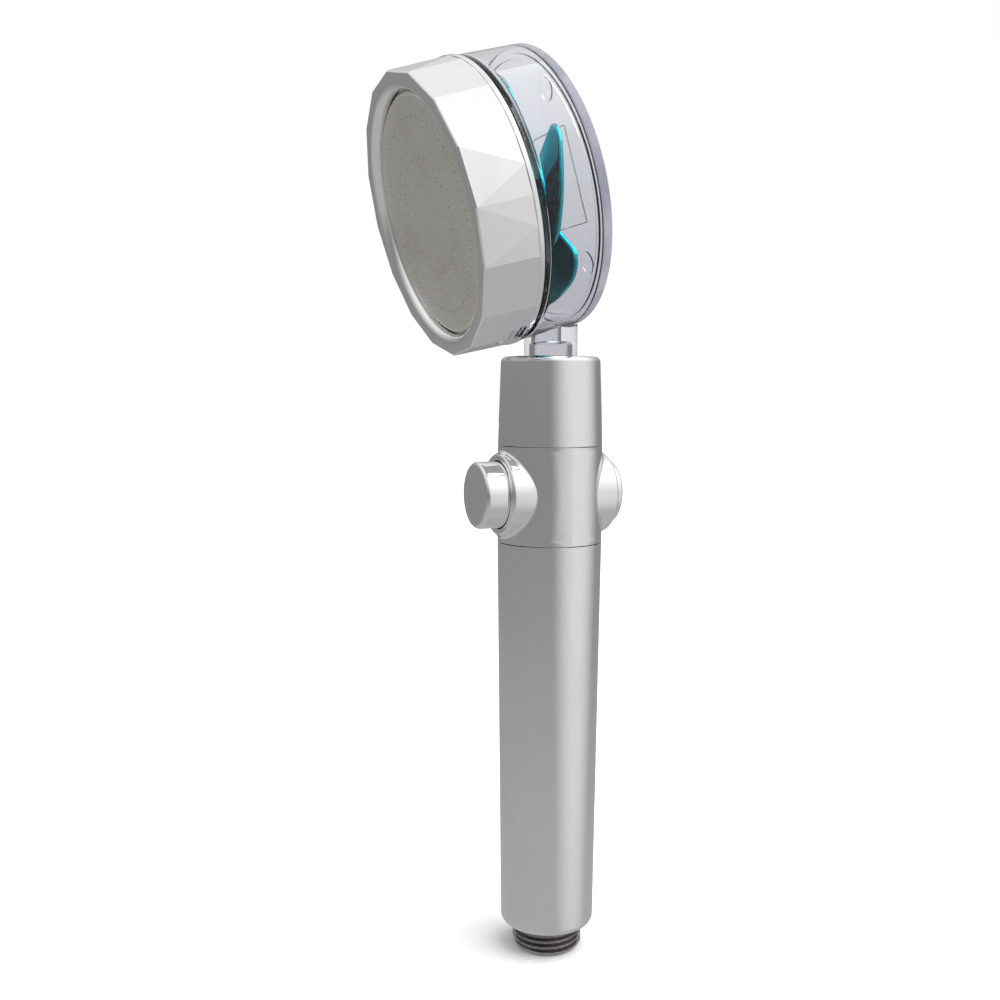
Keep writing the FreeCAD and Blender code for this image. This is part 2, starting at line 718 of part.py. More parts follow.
def face_ring():
    """The faceted ring that screws onto the chamber and holds the spray plate.

    Each of its sides is a triangle on the front edge, with two more triangles that fold from each
    front corner to the round rim.
    """
    sides = int(float(sheet.ring_sides))
    bevel = 0.35
    phase = -float(sheet.ring_phase)
    front_radius = float(sheet.ring_front_radius)
    inner = facet_nodes(front_radius - bevel, 0.0, sides, phase)
    outer = facet_nodes(front_radius, bevel, sides, phase)
    nodes = facet_nodes(float(sheet.ring_node_radius), float(sheet.ring_node_depth), 2 * sides, phase)
    faces = [flat_face(inner), flat_face(nodes)]
    for i in range(sides):
        j = (i + 1) % sides
        before, at, after = nodes[2 * i - 1], nodes[2 * i], nodes[2 * i + 1]
        faces.append(flat_face([inner[i], inner[j], outer[j], outer[i]]))
        faces.append(flat_face([outer[i], outer[j], after]))
        faces.append(flat_face([outer[i], before, at]))
        faces.append(flat_face([outer[i], at, after]))
    facets = Part.makeSolid(Part.makeShell(faces))
    if facets.Volume < 0:
        facets.reverse()
    start = FreeCAD.Vector(0, 0, float(sheet.ring_node_depth) - 0.2)
    rim = Part.makeCylinder(float(sheet.ring_rim_radius), float(sheet.ring_depth) - start.z, start)
    rim = rim.makeChamfer(0.15, [rim.Edges[0]])

    hole, lip, bore = float(sheet.ring_hole), float(sheet.ring_lip_outer), float(sheet.ring_bore)
    round_depth = lip - hole
    ledge = float(sheet.ring_ledge)
    back = float(sheet.ring_depth) + 1
    middle = round_depth * (1 - math.sqrt(0.5))
    edges = [
        Part.LineSegment(FreeCAD.Vector(0, 0, -1), FreeCAD.Vector(lip, 0, -1)),
        Part.LineSegment(FreeCAD.Vector(lip, 0, -1), FreeCAD.Vector(lip, 0, 0)),
        Part.Arc(FreeCAD.Vector(lip, 0, 0), FreeCAD.Vector(hole + middle, 0, middle),
                 FreeCAD.Vector(hole, 0, round_depth)),
        Part.LineSegment(FreeCAD.Vector(hole, 0, round_depth), FreeCAD.Vector(hole, 0, ledge)),
        Part.LineSegment(FreeCAD.Vector(hole, 0, ledge), FreeCAD.Vector(bore, 0, ledge)),
        Part.LineSegment(FreeCAD.Vector(bore, 0, ledge), FreeCAD.Vector(bore, 0, back)),
        Part.LineSegment(FreeCAD.Vector(bore, 0, back), FreeCAD.Vector(0, 0, back)),
        Part.LineSegment(FreeCAD.Vector(0, 0, back), FreeCAD.Vector(0, 0, -1)),
    ]
    section = Part.Face(Part.Wire([edge.toShape() for edge in edges]))
    opening = section.revolve(FreeCAD.Vector(0, 0, 0), FreeCAD.Vector(0, 0, 1), 360)
    item = doc.addObject("Part::Feature", "face_ring")
    item.Label = "face_ring"
    item.Shape = facets.fuse(rim).cut(opening)
    return place_in_head(item)


def spray_plate():
    """Stainless disc with rings of fine holes and a flange that the face ring clamps."""
    front, flange, back = sheet.plate_front, sheet.ring_ledge + 0.1, sheet.ring_ledge + 0.7
    body = turned("spray_plate", [
        (ZERO, front), (sheet.plate_radius, front), (sheet.plate_radius, flange),
        (sheet.plate_flange, flange), (sheet.plate_flange, back), (ZERO, back)])
    soften(body, "Fillet", 1.3, [(sheet.plate_radius, front)])
    sketch = new_sketch(body, "holes", "XY_Plane")
    for radius, count in SPRAY_RINGS:
        for i in range(count):
            angle = 2 * math.pi * i / count
            centre = FreeCAD.Vector(radius * math.cos(angle), radius * math.sin(angle), 0)
            sketch.addGeometry(Part.Circle(centre, FreeCAD.Vector(0, 0, 1), SPRAY_HOLE))
    feature(body, "Pocket", "drilling", sketch, Type="ThroughAll", Midplane=True)
    doc.recompute()
    return place_in_head(body)


def plate_gasket():
    """Silicone ring between the spray plate and the chamber."""
    front, back = sheet.ring_ledge + 0.75, sheet.chamber_front - 0.05
    inner, outer = sheet.chamber_neck_bore - 0.8, sheet.chamber_neck - 0.1
    return place_in_head(turned("plate_gasket", [(inner, front), (outer, front), (outer, back), (inner, back)]))


def fan_support():
    """Spoked frame in the mouth of the chamber that carries the front end of the axle."""
    front, back = sheet.chamber_front + 1.5, sheet.chamber_front + 5.5
    outer = sheet.chamber_neck_bore - 0.05
    inner = outer - 2.6
    hub, seat = sheet.axle_radius + 3.2, sheet.axle_radius + 0.02
    body = turned("fan_support", [(inner, front), (outer, front), (outer, back), (inner, back)])
    spokes = new_sketch(body, "spokes", "XY_Plane", front)
    add_outline(spokes, rectangle(inner + 0.8, sheet.spoke_half))
    arms = feature(body, "Pad", "arm", spokes, Length=back - front)
    doc.recompute()
    pattern = body.newObject("PartDesign::PolarPattern", "fan_support_arms")
    pattern.Originals = [arms]
    pattern.Axis = (spokes, ["N_Axis"])
    pattern.Angle = 360
    pattern.Occurrences = FAN_SPOKES // 2
    body.Tip = pattern
    doc.recompute()
    boss = new_sketch(body, "boss", "XY_Plane", front)
    add_circle(boss, ZERO, ZERO, hub)
    feature(body, "Pad", "hub", boss, Length=sheet.fan_front - 0.7 - front)
    doc.recompute()
    bore = new_sketch(body, "bore", "XY_Plane", front + 0.8)
    add_circle(bore, ZERO, ZERO, seat)
    feature(body, "Pocket", "axle_seat", bore, Type="Length", Length=ZERO + 30, Reversed=True)
    doc.recompute()
    return place_in_head(body)


def fan_axle():
    """Stainless pin that the turbine turns on."""
    start, end = sheet.chamber_front + 2.4, sheet.chamber_back - 0.35
    body = turned("fan_axle", [(ZERO, start), (sheet.axle_radius, start), (sheet.axle_radius, end), (ZERO, end)])
    soften(body, "Chamfer", 0.3, [(sheet.axle_radius, start), (sheet.axle_radius, end)])
    return place_in_head(body)


def fan_washers():
    """Thin washers on the axle at each end of the turbine's hub."""
    inner, outer = sheet.axle_radius + 0.1, sheet.axle_radius + 1.9
    washers = []
    for number, start in enumerate((sheet.fan_front - 0.6, sheet.fan_back + 0.1), start=1):
        end = start + 0.5
        corners = [(inner, start), (outer, start), (outer, end), (inner, end)]
        washers.append(turned("fan_washer_%d" % number, corners))
    return place_in_head(group("fan_washers", washers))


def blade_solid():
    """One petal blade: a thick helical sheet trimmed to a sector with round outer corners."""
    tip = float(sheet.fan_radius) - BLADE_TIP_CLEARANCE
    inner, outer = 5.0, tip + 1.5
    first, last = BLADE_FIRST - 3, BLADE_LAST + 3
    steps = 10
    sections = []
    for i in range(steps + 1):
        angle = first + (last - first) * i / steps
        middle = BLADE_DEPTH - BLADE_CLIMB * angle
        low, high = middle - BLADE_THICKNESS / 2, middle + BLADE_THICKNESS / 2
        corners = [(inner, low), (outer, low), (outer, high), (inner, high), (inner, low)]
        wire = Part.makePolygon([FreeCAD.Vector(radius, 0, depth) for radius, depth in corners])
        wire.rotate(FreeCAD.Vector(0, 0, 0), FreeCAD.Vector(0, 0, 1), angle)
        sections.append(wire)
    sheet_of_blade = Part.makeLoft(sections, True, False)
    base = BLADE_DEPTH - 15
    axis = FreeCAD.Vector(0, 0, 1)
    petal = Part.makeCylinder(tip, 30, FreeCAD.Vector(0, 0, base), axis, BLADE_LAST - BLADE_FIRST)
    petal.rotate(FreeCAD.Vector(0, 0, 0), axis, BLADE_FIRST)
    corners = []
    for edge in petal.Edges:
        ends = [vertex.Point for vertex in edge.Vertexes]
        upright = len(ends) == 2 and abs(abs(ends[0].z - ends[1].z) - 30) < 0.01
        if upright and math.hypot(ends[0].x, ends[0].y) > tip - 0.01:
            corners.append(edge)
    return sheet_of_blade.common(petal.makeFillet(BLADE_CORNER, corners))


def turbine_fan():
    """The turbine: twisted petal blades on a hub, driven by the water from the stem."""
    blade = blade_solid()
    front, back = float(sheet.fan_front), float(sheet.fan_back)
    hub = Part.makeCylinder(float(sheet.fan_hub), back - front, FreeCAD.Vector(0, 0, front))
    hub = hub.makeFillet(0.8, [edge for edge in hub.Edges if edge.Closed and len(edge.Vertexes) == 1])
    whole = hub
    for i in range(FAN_BLADES):
        copy = blade.copy()
        copy.rotate(FreeCAD.Vector(0, 0, 0), FreeCAD.Vector(0, 0, 1), 360.0 * i / FAN_BLADES)
        whole = whole.fuse(copy)
    bore = Part.makeCylinder(float(sheet.axle_radius) + 0.05, back - front + 2, FreeCAD.Vector(0, 0, front - 1))
    item = doc.addObject("Part::Feature", "turbine_fan")
    item.Label = "turbine_fan"
    item.Shape = whole.cut(bore)
    return place_in_head(item)


# ---------------------------------------------------------------- build and write

def build_all():
    makers = [
        hose_nipple, nipple_seal, inlet_strainer, handle_tube, filter_core, filter_lower_cap,
        filter_upper_cap, filter_seal, tube_seal, valve_body, valve_spool, spool_seals, front_button,
        rear_button, swivel_collar, swivel_bush, thrust_washer, stem_clip, stem_seals, clear_chamber,
        back_cover, face_ring, spray_plate, plate_gasket, fan_support, fan_axle, fan_washers, turbine_fan,
    ]
    parts = [make() for make in makers]
    doc.recompute()
    return parts


def check_document():
    for item in doc.Objects:
        if "Invalid" in item.State or "Error" in item.State:
            raise RuntimeError("%s failed: %s" % (item.Name, item.State))


def write_parts(parts):
    os.makedirs("parts", exist_ok=True)
    for item in parts:
        shape = item.Shape
        if shape.isNull() or not shape.isValid() or not shape.Solids:
            raise RuntimeError(item.Label + " has no valid solid")
        shape.exportStep(os.path.join("parts", item.Label + ".step"))
        print("%-18s %d solid(s) %9.1f mm3" % (item.Label, len(shape.Solids), shape.Volume))


sub_parts = build_all()
check_document()
write_parts(sub_parts)
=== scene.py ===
import json
import math

import bmesh
import bpy
from mathutils import Matrix, Vector


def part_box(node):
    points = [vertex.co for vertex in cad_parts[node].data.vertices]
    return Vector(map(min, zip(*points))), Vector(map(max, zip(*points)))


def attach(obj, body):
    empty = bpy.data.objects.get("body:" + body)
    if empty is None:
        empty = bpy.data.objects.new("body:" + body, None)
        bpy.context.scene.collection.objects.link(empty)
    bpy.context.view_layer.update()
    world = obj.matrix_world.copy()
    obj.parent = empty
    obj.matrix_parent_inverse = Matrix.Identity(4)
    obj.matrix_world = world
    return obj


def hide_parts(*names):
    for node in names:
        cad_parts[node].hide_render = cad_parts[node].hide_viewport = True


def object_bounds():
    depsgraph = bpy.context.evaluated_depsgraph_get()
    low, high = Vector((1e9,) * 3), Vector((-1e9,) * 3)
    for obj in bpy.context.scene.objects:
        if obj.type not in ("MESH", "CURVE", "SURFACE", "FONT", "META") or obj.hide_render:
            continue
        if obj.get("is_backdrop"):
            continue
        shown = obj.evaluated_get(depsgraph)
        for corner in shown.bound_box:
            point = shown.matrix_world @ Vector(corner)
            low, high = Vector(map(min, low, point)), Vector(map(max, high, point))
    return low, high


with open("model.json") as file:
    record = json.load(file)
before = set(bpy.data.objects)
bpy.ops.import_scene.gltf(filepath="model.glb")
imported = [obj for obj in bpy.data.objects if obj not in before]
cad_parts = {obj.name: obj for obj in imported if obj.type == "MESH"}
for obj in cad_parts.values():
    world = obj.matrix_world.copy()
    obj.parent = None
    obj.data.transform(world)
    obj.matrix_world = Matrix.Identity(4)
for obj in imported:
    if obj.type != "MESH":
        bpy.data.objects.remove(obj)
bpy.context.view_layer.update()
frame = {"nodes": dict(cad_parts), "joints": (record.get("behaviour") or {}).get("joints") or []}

# Handheld shower head.  Lengths in the outlines below are millimetres along or away from an axis;
# make_mesh turns them into metres in the shared frame.
MM = 0.001
NODES = frame["nodes"]
JOINTS = {joint["name"]: joint for joint in frame["joints"]}

ROUND = 192             # segments round a turned piece
SHARP_ANGLE = math.radians(32)


# ---------------------------------------------------------------- places, from the frame

def axis_frame(origin, axis):
    """A matrix, in millimetres, whose Z is the axis and whose X is the object's own X."""
    z = Vector(axis).normalized()
    x = Vector((1, 0, 0))
    y = z.cross(x)
    matrix = Matrix((x, y, z)).transposed().to_4x4()
    matrix.translation = Vector(origin)
    return matrix


def span(node, place):
    """(lowest depth, highest depth, reach) of a CAD node in an axis frame, in millimetres."""
    back = place.inverted()
    local = [back @ (vertex.co / MM) for vertex in NODES[node].data.vertices]
    depths = [point.z for point in local]
    return min(depths), max(depths), max(math.hypot(point.x, point.y) for point in local)


UPRIGHT = axis_frame((0, 0, 0), (0, 0, 1))
_turbine = JOINTS["fan_spin"]
_turbine_place = axis_frame(Vector(_turbine["pos_m"]) / MM, _turbine["axis"])
_face_depth = span("face_ring", _turbine_place)[0]
HEAD = _turbine_place @ Matrix.Translation((0, 0, _face_depth))

_low, _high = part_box("front_button")
VALVE_HEIGHT = (_low.z + _high.z) / 2 / MM
FRONT_BUTTON_Y = _low.y / MM
REAR_BUTTON_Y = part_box("rear_button")[1].y / MM

TUBE_LOW, TUBE_HIGH, GRIP = span("handle_tube", UPRIGHT)
COLLAR_LOW, COLLAR_HIGH, _ = span("swivel_collar", UPRIGHT)
VALVE_SPIGOT_LOW, VALVE_SPIGOT_HIGH, _ = span("valve_body", UPRIGHT)
_, NIPPLE_HIGH, _ = span("hose_nipple", UPRIGHT)
STEM_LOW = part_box("clear_chamber")[0].z / MM
SHELL_LOW, SHELL_HIGH = TUBE_HIGH + 0.16, COLLAR_LOW - 0.16


# ---------------------------------------------------------------- mesh helpers

def make_mesh(name, points, faces, place, body, material, smooth=True):
    """A piece from points in millimetres in an axis frame.  It rides on a CAD body."""
    mesh = bpy.data.meshes.new(name)
    mesh.from_pydata([(place @ Vector(point)) * MM for point in points], [], faces)
    mesh.validate()
    piece = bpy.data.objects.new(name, mesh)
    bpy.context.scene.collection.objects.link(piece)
    clean(mesh)
    if smooth:
        smooth_with_corners(mesh)
    mesh.materials.append(material)
    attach(piece, body)
    return piece


def clean(mesh):
    """Merges doubled points and turns every face outwards."""
    work = bmesh.new()
    work.from_mesh(mesh)
    bmesh.ops.remove_doubles(work, verts=work.verts, dist=2e-6)
    bmesh.ops.dissolve_degenerate(work, edges=work.edges, dist=1e-7)
    bmesh.ops.recalc_face_normals(work, faces=work.faces)
    if work.calc_volume(signed=True) < 0:
        bmesh.ops.reverse_faces(work, faces=work.faces)
    work.to_mesh(mesh)
    work.free()


def smooth_with_corners(mesh, limit=SHARP_ANGLE):
    """Smooth shading that keeps each edge sharper than the limit crisp, and large flat faces flat."""
    work = bmesh.new()
    work.from_mesh(mesh)
    for face in work.faces:
        face.smooth = len(face.verts) < 12
    for edge in work.edges:
        edge.smooth = not (len(edge.link_faces) == 2 and edge.calc_face_angle(0) > limit)
    work.to_mesh(mesh)
    work.free()


def rounded(corners, steps=7):
    """A closed outline of (radius, depth) or (radius, depth, rounding) corners, with the roundings drawn."""
    outline = []
    count = len(corners)
    for i, corner in enumerate(corners):
        here = Vector(corner[:2])
        rounding = corner[2] if len(corner) > 2 else 0
        if not rounding:
            outline.append(tuple(here))
            continue
        before = (Vector(corners[i - 1][:2]) - here).normalized()
        after = (Vector(corners[(i + 1) % count][:2]) - here).normalized()
        half = before.angle(after) / 2
        reach = rounding / math.tan(half)
        centre = here + (before + after).normalized() * (rounding / math.sin(half))
        start, end = here + before * reach - centre, here + after * reach - centre
        turn = math.atan2(start.x * end.y - start.y * end.x, start.dot(end))
        for step in range(steps + 1):
            angle = turn * step / steps
            cos, sin = math.cos(angle), math.sin(angle)
            outline.append((centre.x + start.x * cos - start.y * sin,
                            centre.y + start.x * sin + start.y * cos))
    return outline


def turn_outline(outline, steps=ROUND, start=0.0):
    """Points and faces of a closed outline turned about the axis."""
    points, faces, rows = [], [], []
    for radius, depth in outline:
        if radius < 1e-6:
            points.append((0, 0, depth))
            rows.append([len(points) - 1] * steps)
            continue
        rows.append(list(range(len(points), len(points) + steps)))
        for i in range(steps):
            angle = start + 2 * math.pi * i / steps
            points.append((radius * math.cos(angle), radius * math.sin(angle), depth))
    for a, b in zip(rows, rows[1:] + rows[:1]):
        for i in range(steps):
            j = (i + 1) % steps
            face = []
            for index in (a[i], a[j], b[j], b[i]):
                if index not in face:
                    face.append(index)
            if len(face) > 2:
                faces.append(face)
    return points, faces


def with_support(outline):
    """Adds a point close to each end of the long lines, so the shading of a wall stays flat between them."""
    closer = []
    for i, spot in enumerate(outline):
        here, following = Vector(spot), Vector(outline[(i + 1) % len(outline)])
        closer.append(spot)
        length = (following - here).length
        if length > 3:
            step = (following - here) / length * 0.25
            closer += [tuple(here + step), tuple(following - step)]
    return closer


def turned(name, corners, place, body, material, steps=ROUND):
    points, faces = turn_outline(with_support(rounded(corners)), steps)
    return make_mesh(name, points, faces, place, body, material)


def carve(piece, tools, operation="DIFFERENCE"):
    """An exact boolean with each tool, which is then deleted."""
    for tool in tools:
        cut = piece.modifiers.new("carve", "BOOLEAN")
        cut.operation = operation
        cut.solver = "EXACT"
        cut.object = tool
        graph = bpy.context.evaluated_depsgraph_get()
        mesh = bpy.data.meshes.new_from_object(piece.evaluated_get(graph))
        piece.modifiers.clear()
        old = piece.data
        piece.data = mesh
        mesh.name = old.name
        bpy.data.meshes.remove(old)
        bpy.data.objects.remove(tool)
    smooth_with_corners(piece.data)


def tool_mesh(points, faces, place):
    mesh = bpy.data.meshes.new("tool")
    mesh.from_pydata([(place @ Vector(point)) * MM for point in points], [], faces)
    clean(mesh)
    tool = bpy.data.objects.new("tool", mesh)
    bpy.context.scene.collection.objects.link(tool)
    bpy.context.view_layer.update()
    return tool


# ---------------------------------------------------------------- materials

class Graph:
    """A short way to write node trees."""

    def __init__(self, tree):
        self.tree = tree

    def node(self, kind, **settings):
        item = self.tree.nodes.new(kind)
        for key, value in settings.items():
            setattr(item, key, value)
        return item

    def link(self, output, target):
        self.tree.links.new(output, target)

    def feed(self, target, value):
        if isinstance(value, bpy.types.NodeSocket):
            self.link(value, target)
        else:
            target.default_value = value

    def math(self, operation, *values, clamp=False):
        item = self.node("ShaderNodeMath", operation=operation, use_clamp=clamp)
        for socket, value in zip(item.inputs, values):
            self.feed(socket, value)
        return item.outputs[0]

    def remap(self, value, low, high, to_low=0.0, to_high=1.0, kind="SMOOTHSTEP"):
        item = self.node("ShaderNodeMapRange", interpolation_type=kind)
        for socket, number in zip(item.inputs, (value, low, high, to_low, to_high)):
            self.feed(socket, number)
        return item.outputs[0]

    def mix(self, share, first, second):
        item = self.node("ShaderNodeMix", data_type="RGBA")
        self.feed(item.inputs[0], share)
        self.feed(item.inputs[6], first)
        self.feed(item.inputs[7], second)
        return item.outputs[2]

    def noise(self, coordinates, scale, detail=3.0, roughness=0.55):
        item = self.node("ShaderNodeTexNoise")
        self.link(coordinates, item.inputs["Vector"])
        item.inputs["Scale"].default_value = scale
        item.inputs["Detail"].default_value = detail
        item.inputs["Roughness"].default_value = roughness
        return item.outputs[0]

    def bump(self, height, distance, strength=1.0, after=None):
        item = self.node("ShaderNodeBump")
        item.inputs["Strength"].default_value = strength
        item.inputs["Distance"].default_value = distance
        self.link(height, item.inputs["Height"])
        if after is not None:
            self.link(after, item.inputs["Normal"])
        return item.outputs[0]


def new_material(name, colour, metallic=0.0, roughness=0.3, **sockets):
    """A Principled material.  It gives back (material, graph, shader, object coordinates)."""
    material = bpy.data.materials.new(name)
    material.use_nodes = True
    graph = Graph(material.node_tree)
    shader = material.node_tree.nodes["Principled BSDF"]
    shader.inputs["Base Color"].default_value = (*colour, 1)
    shader.inputs["Metallic"].default_value = metallic
    shader.inputs["Roughness"].default_value = roughness
    for key, value in sockets.items():
        shader.inputs[key.replace("_", " ")].default_value = value
    coordinates = graph.node("ShaderNodeTexCoord").outputs["Object"]
    return material, graph, shader, coordinates


def stretched(graph, coordinates, scale):
    item = graph.node("ShaderNodeMapping")
    graph.link(coordinates, item.inputs["Vector"])
    item.inputs["Scale"].default_value = scale
    return item.outputs[0]


def plated(name, colour, dark_colour, roughness, waviness):
    """Bright plate: a mirror with faint wipe marks, fine hairlines and slight moulding waves."""
    material, graph, shader, where = new_material(name, colour, 1.0, roughness)
    wipes = graph.noise(stretched(graph, where, (1.0, 1.0, 0.35)), 90, 4)
    spots = graph.noise(where, 900, 2)
    film = graph.remap(wipes, 0.42, 0.72)
    speck = graph.remap(spots, 0.70, 0.78)
    rough = graph.math("ADD", graph.math("MULTIPLY", film, roughness * 1.3), roughness * 0.6)
    graph.link(graph.math("ADD", rough, graph.math("MULTIPLY", speck, 0.12)), shader.inputs["Roughness"])
    graph.link(graph.mix(graph.math("MULTIPLY", film, 0.35), (*colour, 1), (*dark_colour, 1)),
               shader.inputs["Base Color"])
    waves = graph.bump(graph.noise(where, 55, 1), waviness, 1.0)
    hairlines = graph.noise(stretched(graph, where, (6.0, 6.0, 0.4)), 700, 2)
    graph.link(graph.bump(hairlines, 0.0000015, 1.0, waves), shader.inputs["Normal"])
    return material


def satin_steel():
    """Satin stainless sheet: fine random grain with a few faint water stains."""
    material, graph, shader, where = new_material("satin_steel", (0.82, 0.79, 0.73), 1.0, 0.42)
    grain = graph.noise(where, 2600, 3, 0.7)
    stains = graph.noise(where, 75, 4, 0.6)
    stain = graph.remap(stains, 0.44, 0.72)
    fine = graph.mix(graph.remap(grain, 0.3, 0.7), (0.76, 0.735, 0.685, 1), (1.0, 0.97, 0.91, 1))
    graph.link(graph.mix(graph.math("MULTIPLY", stain, 0.3), fine, (0.70, 0.66, 0.52, 1)),
               shader.inputs["Base Color"])
    graph.link(graph.remap(grain, 0.3, 0.7, 0.36, 0.47), shader.inputs["Roughness"])
    graph.link(graph.bump(grain, 0.000012, 0.6), shader.inputs["Normal"])
    return material


def clear_plastic():
    """Clear moulded plastic, with faint flow marks and a thin film of finger marks. Its grey tint is painted darker
    towards the bottom: painted shade.
    """
    material, graph, shader, where = new_material(
        "clear_plastic", (0.89, 0.89, 0.92), 0.0, 0.02, Transmission_Weight=1.0, IOR=1.32)
    film = graph.remap(graph.noise(where, 70, 4, 0.6), 0.5, 0.75)
    graph.link(graph.math("ADD", graph.math("MULTIPLY", film, 0.05), 0.01), shader.inputs["Roughness"])
    flow = graph.noise(stretched(graph, where, (1.0, 2.2, 0.6)), 60, 1)
    graph.link(graph.bump(flow, 0.00001, 1.0), shader.inputs["Normal"])
    split = graph.node("ShaderNodeSeparateXYZ")
    graph.link(where, split.inputs[0])
    # Painted shade: the grey tint grows darker towards the bottom of the head, by height alone.
    height = graph.remap(split.outputs[2], 0.185, 0.255)
    graph.link(graph.mix(height, (0.72, 0.72, 0.76, 1), (0.86, 0.855, 0.885, 1)), shader.inputs["Base Color"])
    return material


def satin_edge_painted_shade():
    """The cover's outer edge: the same plastic, satin from the mould and half clear. Its grey, lavender-tinted colour
    is painted shade.
    """
    material, graph, shader, where = new_material(
        "satin_edge_painted_shade", (0.47, 0.47, 0.55), 0.0, 0.22, Transmission_Weight=0.35, IOR=1.49)
    cloud = graph.noise(stretched(graph, where, (1.0, 1.0, 1.0)), 60, 3)
    # Painted shade: the edge's grey, lavender-tinted colour, varied at random by the noise.
    graph.link(graph.mix(graph.remap(cloud, 0.38, 0.66), (0.34, 0.34, 0.42, 1), (0.48, 0.48, 0.56, 1)),
               shader.inputs["Base Color"])
    graph.link(graph.bump(graph.noise(where, 2400, 2), 0.00002, 0.6), shader.inputs["Normal"])
    return material


def moulded(name, colour, roughness, grain_height=0.00001, depth_of_drift=0.14):
    """Plain moulded plastic or rubber with a fine grain and slight colour drift."""
    material, graph, shader, where = new_material(name, colour, 0.0, roughness)
    drift = graph.noise(where, 160, 3)
    darker = tuple(channel * (1 - depth_of_drift) for channel in colour)
    graph.link(graph.mix(graph.remap(drift, 0.4, 0.7), (*colour, 1), (*darker, 1)),
               shader.inputs["Base Color"])
    grain = graph.noise(where, 3500, 2, 0.6)
    graph.link(graph.remap(grain, 0.3, 0.7, roughness * 0.9, min(1.0, roughness * 1.15)),
               shader.inputs["Roughness"])
    graph.link(graph.bump(grain, grain_height, 0.7), shader.inputs["Normal"])
    return material


def wound_cotton():
    """Wound filter yarn: soft diagonal ridges, with the colour painted darker in the grooves between them: painted
    shade.
    """
    material, graph, shader, where = new_material("wound_cotton", (0.86, 0.85, 0.80), 0.0, 0.95)
    wave = graph.node("ShaderNodeTexWave", wave_type="BANDS", bands_direction="DIAGONAL")
    graph.link(where, wave.inputs["Vector"])
    wave.inputs["Scale"].default_value = 160
    wave.inputs["Distortion"].default_value = 2.0
    # Painted shade: the colour is darker down in the grooves, following the same wave as the bump.
    graph.link(graph.mix(wave.outputs[1], (0.74, 0.72, 0.66, 1), (0.90, 0.89, 0.85, 1)),
               shader.inputs["Base Color"])
    graph.link(graph.bump(wave.outputs[1], 0.0002, 0.8), shader.inputs["Normal"])
    return material


CHROME = plated("bright_chrome", (0.90, 0.90, 0.91), (0.80, 0.80, 0.81), 0.035, 0.000006)
NICKEL = plated("dark_nickel", (0.36, 0.34, 0.34), (0.22, 0.21, 0.21), 0.12, 0.00001)
TEAL = plated("teal_plate", (0.02, 0.66, 0.76), (0.015, 0.50, 0.60), 0.08, 0.00004)
STAINLESS = plated("stainless", (0.62, 0.62, 0.63), (0.52, 0.52, 0.53), 0.22, 0.00001)
SATIN = satin_steel()
CLEAR = clear_plastic()
EDGE = satin_edge_painted_shade()
WHITE = moulded("white_plastic", (0.84, 0.84, 0.82), 0.38)
NATURAL = moulded("natural_plastic", (0.78, 0.77, 0.71), 0.45)
BLACK = moulded("dark_plastic", (0.03, 0.03, 0.035), 0.5)
RUBBER = moulded("seal_rubber", (0.035, 0.035, 0.037), 0.62, 0.00003)
SILICONE = moulded("grey_silicone", (0.55, 0.55, 0.56), 0.55)
COTTON = wound_cotton()


# ---------------------------------------------------------------- handle

def handle_tube():
    bottom_radius, bore, foot = 14.03, 12.0, 1.95
    piece = turned("grip_tube", [
        (bore, TUBE_LOW, 0.08), (bottom_radius, TUBE_LOW, foot), (GRIP, TUBE_HIGH - 0.08, 0.04),
        (bore, TUBE_HIGH - 0.08, 0.1)],
        UPRIGHT, "handle", CHROME)
    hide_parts("handle_tube")


def thread_radius(turn_share, crest, root):
    """Radius of a rounded 55-degree thread at a share of one pitch."""
    height = crest - root
    wave = 0.5 - 0.5 * math.cos(2 * math.pi * turn_share)
    blunt = max(0.0, min(1.0, (wave - 0.12) / 0.76))
    return root + height * blunt


def hose_nipple():
    """The nipple, with a real right-handed helix that fades out at both ends."""
    crest, root, pitch = 10.478, 9.316, 1.814
    flange_low, flange, bore, seat, seat_depth = TUBE_LOW + 0.12, 11.9, 6.4, 7.6, 1.6
    rows = 112
    points, faces = [], []

    def add_row(radius_at, depth):
        start = len(points)
        for i in range(ROUND):
            angle = 2 * math.pi * i / ROUND
            radius = radius_at(angle) if callable(radius_at) else radius_at
            points.append((radius * math.cos(angle), radius * math.sin(angle), depth))
        return start

    starts = [add_row(bore, NIPPLE_HIGH), add_row(bore, seat_depth), add_row(seat, seat_depth),
              add_row(seat, 0.15), add_row(seat + 0.15, 0.0), add_row(root - 0.25, 0.0)]
    top = flange_low - 0.05
    for row in range(rows + 1):
        depth = 0.18 + (top - 0.18) * row / rows
        lead_in = min(1.0, max(0.0, (depth - 0.1) / 0.9))
        run_out = min(1.0, max(0.0, (top - 0.35 - depth) / 0.7))
        fade = lead_in * run_out

        def radius_at(angle, depth=depth, fade=fade):
            share = (depth / pitch - angle / (2 * math.pi)) % 1.0
            return root + (thread_radius(share, crest, root) - root) * fade

        starts.append(add_row(radius_at, depth))
    starts += [add_row(root, flange_low), add_row(flange - 0.2, flange_low), add_row(flange, flange_low + 0.2),
               add_row(flange, NIPPLE_HIGH - 0.3), add_row(flange - 0.3, NIPPLE_HIGH)]
    for a, b in zip(starts, starts[1:] + starts[:1]):
        for i in range(ROUND):
            j = (i + 1) % ROUND
            faces.append([a + i, a + j, b + j, b + i])
    piece = make_mesh("threaded_nipple", points, faces, UPRIGHT, "handle", NICKEL)
    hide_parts("hose_nipple")


